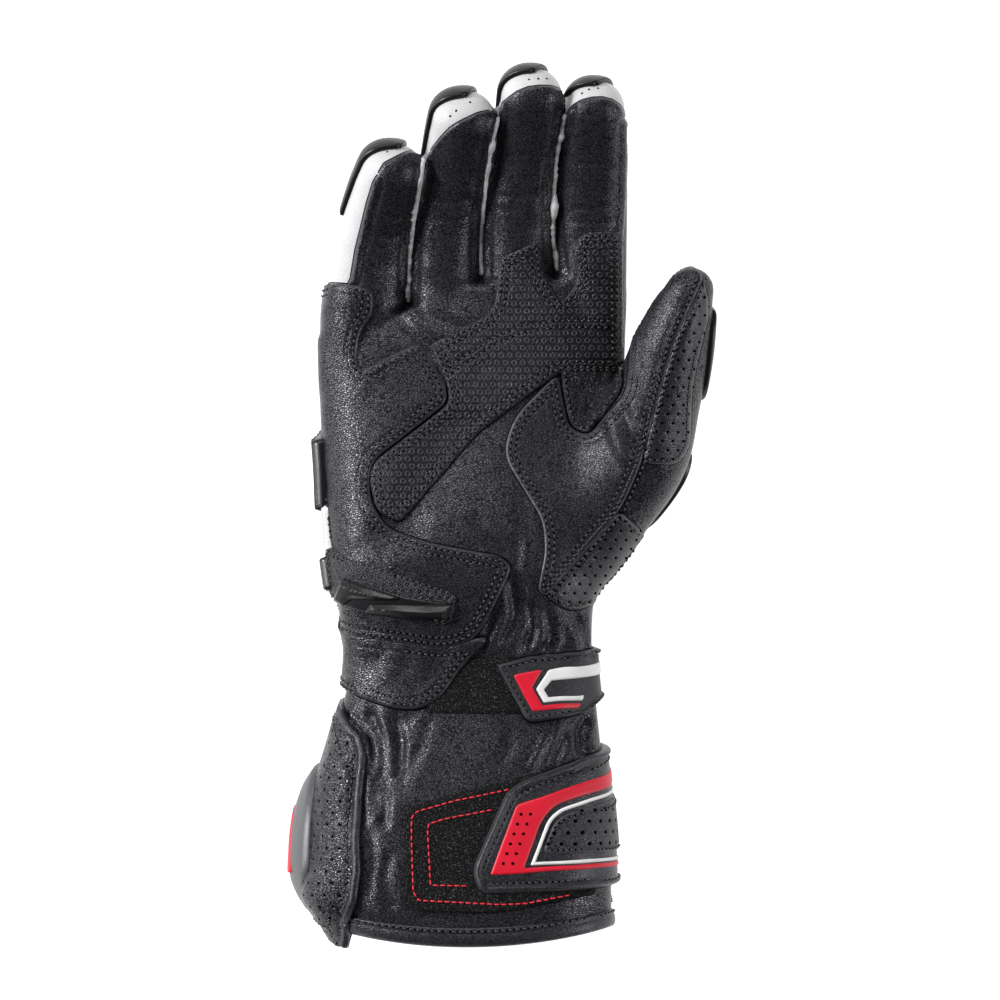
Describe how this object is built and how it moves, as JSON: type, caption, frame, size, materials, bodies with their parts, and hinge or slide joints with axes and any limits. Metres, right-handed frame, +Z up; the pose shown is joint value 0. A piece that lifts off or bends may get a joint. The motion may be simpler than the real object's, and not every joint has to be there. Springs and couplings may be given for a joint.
{
  "type": "motorcycle racing glove",
  "caption": "Right-hand leather motorcycle racing glove lying palm up, with a long cuff, two closing straps, palm slider, white fingertips and hard guards on the back",
  "frame": {"origin": "centre of the bounding box in X and Y, on the surface that the glove lies on", "axes": "X across the palm towards the thumb, Y from the cuff's mouth to the fingertips, Z up out of the palm"},
  "size_m": [0.146, 0.2994, 0.0638],
  "materials": {
    "black_leather": "black grained goatskin, semi-matt",
    "grip_leather": "black leather printed with small raised grip rings, matt",
    "white_leather": "white smooth leather",
    "hard_black": "black moulded plastic, satin",
    "hard_grey": "dark grey moulded plastic, satin",
    "loop_fabric": "black loop fastener, fuzzy",
    "rubber_red": "red moulded rubber trim with a thin white line"
  },
  "bodies": {
    "root": {"little_tip": "white_leather", "ring_tip": "white_leather", "middle_tip": "white_leather", "index_tip": "white_leather", "cuff_leather": "black_leather", "thenar_panel": "black_leather", "palm_leather": "black_leather", "little_side": "white_leather", "back_leather": "black_leather", "heel_panel": "black_leather", "slider_bed": "grip_leather", "palm_slider": "hard_black", "grip_panel": "grip_leather", "web_patch": "grip_leather", "thumb_vent_lower": "black_leather", "thumb_vent_upper": "black_leather", "wrist_flap": "black_leather", "wrist_loop_patch": "loop_fabric", "wrist_strap": "black_leather", "wrist_strap_badge": "rubber_red", "hem_binding": "black_leather", "cuff_side_flap": "black_leather", "flap_piping": "black_leather", "cuff_loop_patch": "loop_fabric", "cuff_strap": "black_leather", "cuff_badge": "rubber_red", "little_nail": "hard_black", "ring_nail": "hard_black", "middle_nail": "hard_black", "index_nail": "hard_black", "thumb_tip_guard": "hard_black", "thumb_joint_guard": "hard_black", "knuckle_guard": "hard_black", "back_panel": "white_leather", "wrist_knob_guard": "hard_black", "cuff_plate": "hard_grey"}
  },
  "joints": []
}
